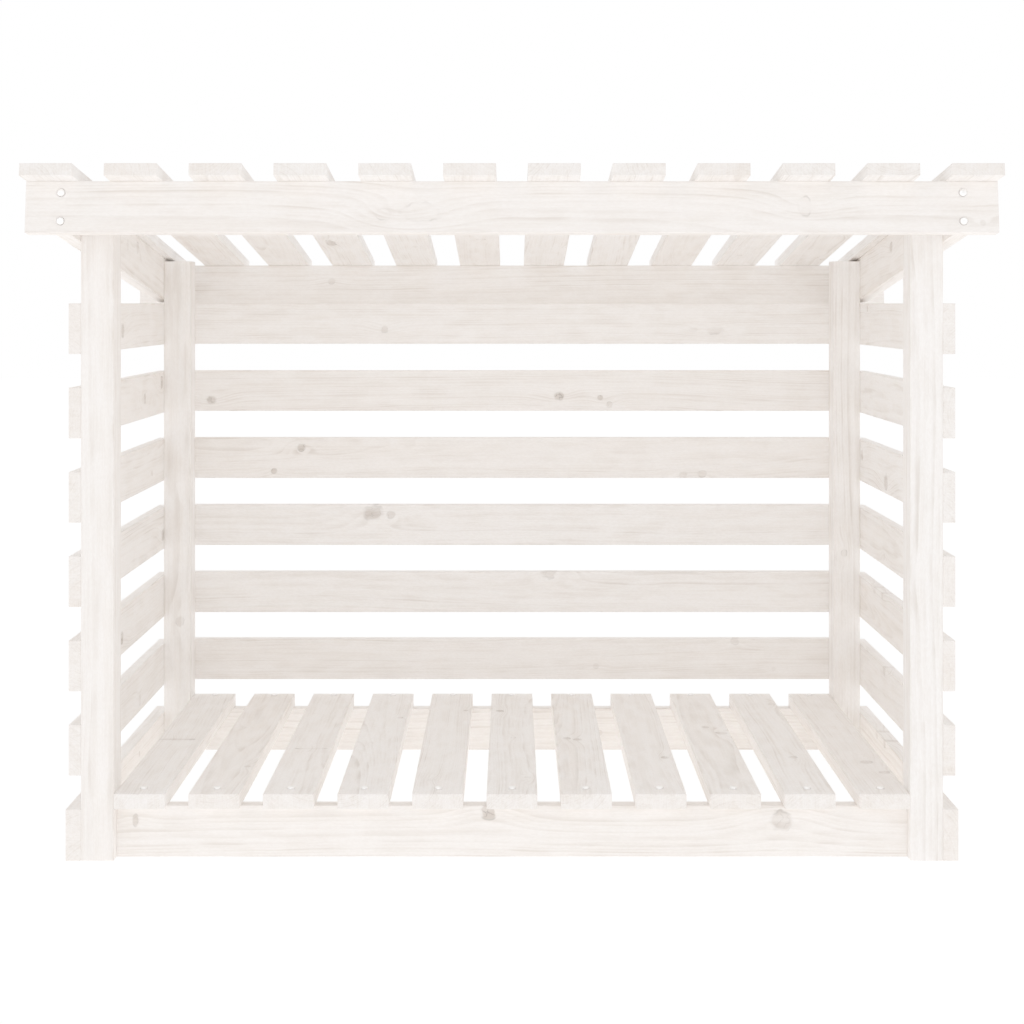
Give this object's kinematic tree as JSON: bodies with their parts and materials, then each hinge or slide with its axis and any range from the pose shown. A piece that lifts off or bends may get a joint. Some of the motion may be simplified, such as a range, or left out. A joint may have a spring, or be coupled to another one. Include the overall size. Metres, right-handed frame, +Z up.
{
  "type": "firewood rack",
  "caption": "Free-standing open-fronted log rack of white-stained pine: slatted floor, sides and back under a lean-to slatted roof that keeps rain off stacked firewood.",
  "frame": {"origin": "middle of the rack's overall footprint, on the ground", "axes": "+X to the right seen from the open front, along the width; +Y to the back; +Z up"},
  "size_m": [1.08, 0.73, 0.79],
  "materials": {
    "stained_pine_frame": "thin white stain over planed pine, matt",
    "stained_pine_slat": "thin white stain over planed pine, matt",
    "zinc_plated_screw": "bright zinc plate"
  },
  "bodies": {
    "root": {"front_post_left": "stained_pine_frame", "front_post_right": "stained_pine_frame", "rear_post_left": "stained_pine_frame", "rear_post_right": "stained_pine_frame", "front_lower_rail": "stained_pine_frame", "rear_lower_rail": "stained_pine_frame", "side_lower_rail_left": "stained_pine_frame", "side_lower_rail_right": "stained_pine_frame", "roof_front_fascia": "stained_pine_frame", "roof_rear_fascia": "stained_pine_frame", "roof_side_rail_left": "stained_pine_frame", "roof_side_rail_right": "stained_pine_frame", "floor_slat_1": "stained_pine_slat", "floor_slat_2": "stained_pine_slat", "floor_slat_3": "stained_pine_slat", "floor_slat_4": "stained_pine_slat", "floor_slat_5": "stained_pine_slat", "floor_slat_6": "stained_pine_slat", "floor_slat_7": "stained_pine_slat", "floor_slat_8": "stained_pine_slat", "floor_slat_9": "stained_pine_slat", "floor_slat_10": "stained_pine_slat", "floor_slat_11": "stained_pine_slat", "back_slat_1": "stained_pine_slat", "back_slat_2": "stained_pine_slat", "back_slat_3": "stained_pine_slat", "back_slat_4": "stained_pine_slat", "back_slat_5": "stained_pine_slat", "back_slat_6": "stained_pine_slat", "side_slat_left_1": "stained_pine_slat", "side_slat_left_2": "stained_pine_slat", "side_slat_left_3": "stained_pine_slat", "side_slat_left_4": "stained_pine_slat", "side_slat_left_5": "stained_pine_slat", "side_slat_left_6": "stained_pine_slat", "side_slat_right_1": "stained_pine_slat", "side_slat_right_2": "stained_pine_slat", "side_slat_right_3": "stained_pine_slat", "side_slat_right_4": "stained_pine_slat", "side_slat_right_5": "stained_pine_slat", "side_slat_right_6": "stained_pine_slat", "roof_slat_1": "stained_pine_slat", "roof_slat_2": "stained_pine_slat", "roof_slat_3": "stained_pine_slat", "roof_slat_4": "stained_pine_slat", "roof_slat_5": "stained_pine_slat", "roof_slat_6": "stained_pine_slat", "roof_slat_7": "stained_pine_slat", "roof_slat_8": "stained_pine_slat", "roof_slat_9": "stained_pine_slat", "roof_slat_10": "stained_pine_slat", "roof_slat_11": "stained_pine_slat", "roof_slat_12": "stained_pine_slat", "floor_slat_screws": "zinc_plated_screw", "back_slat_screws": "zinc_plated_screw", "side_slat_screws": "zinc_plated_screw", "roof_slat_screws": "zinc_plated_screw", "fascia_screws": "zinc_plated_screw", "side_rail_screws": "zinc_plated_screw", "rail_end_screws": "zinc_plated_screw"}
  },
  "joints": []
}
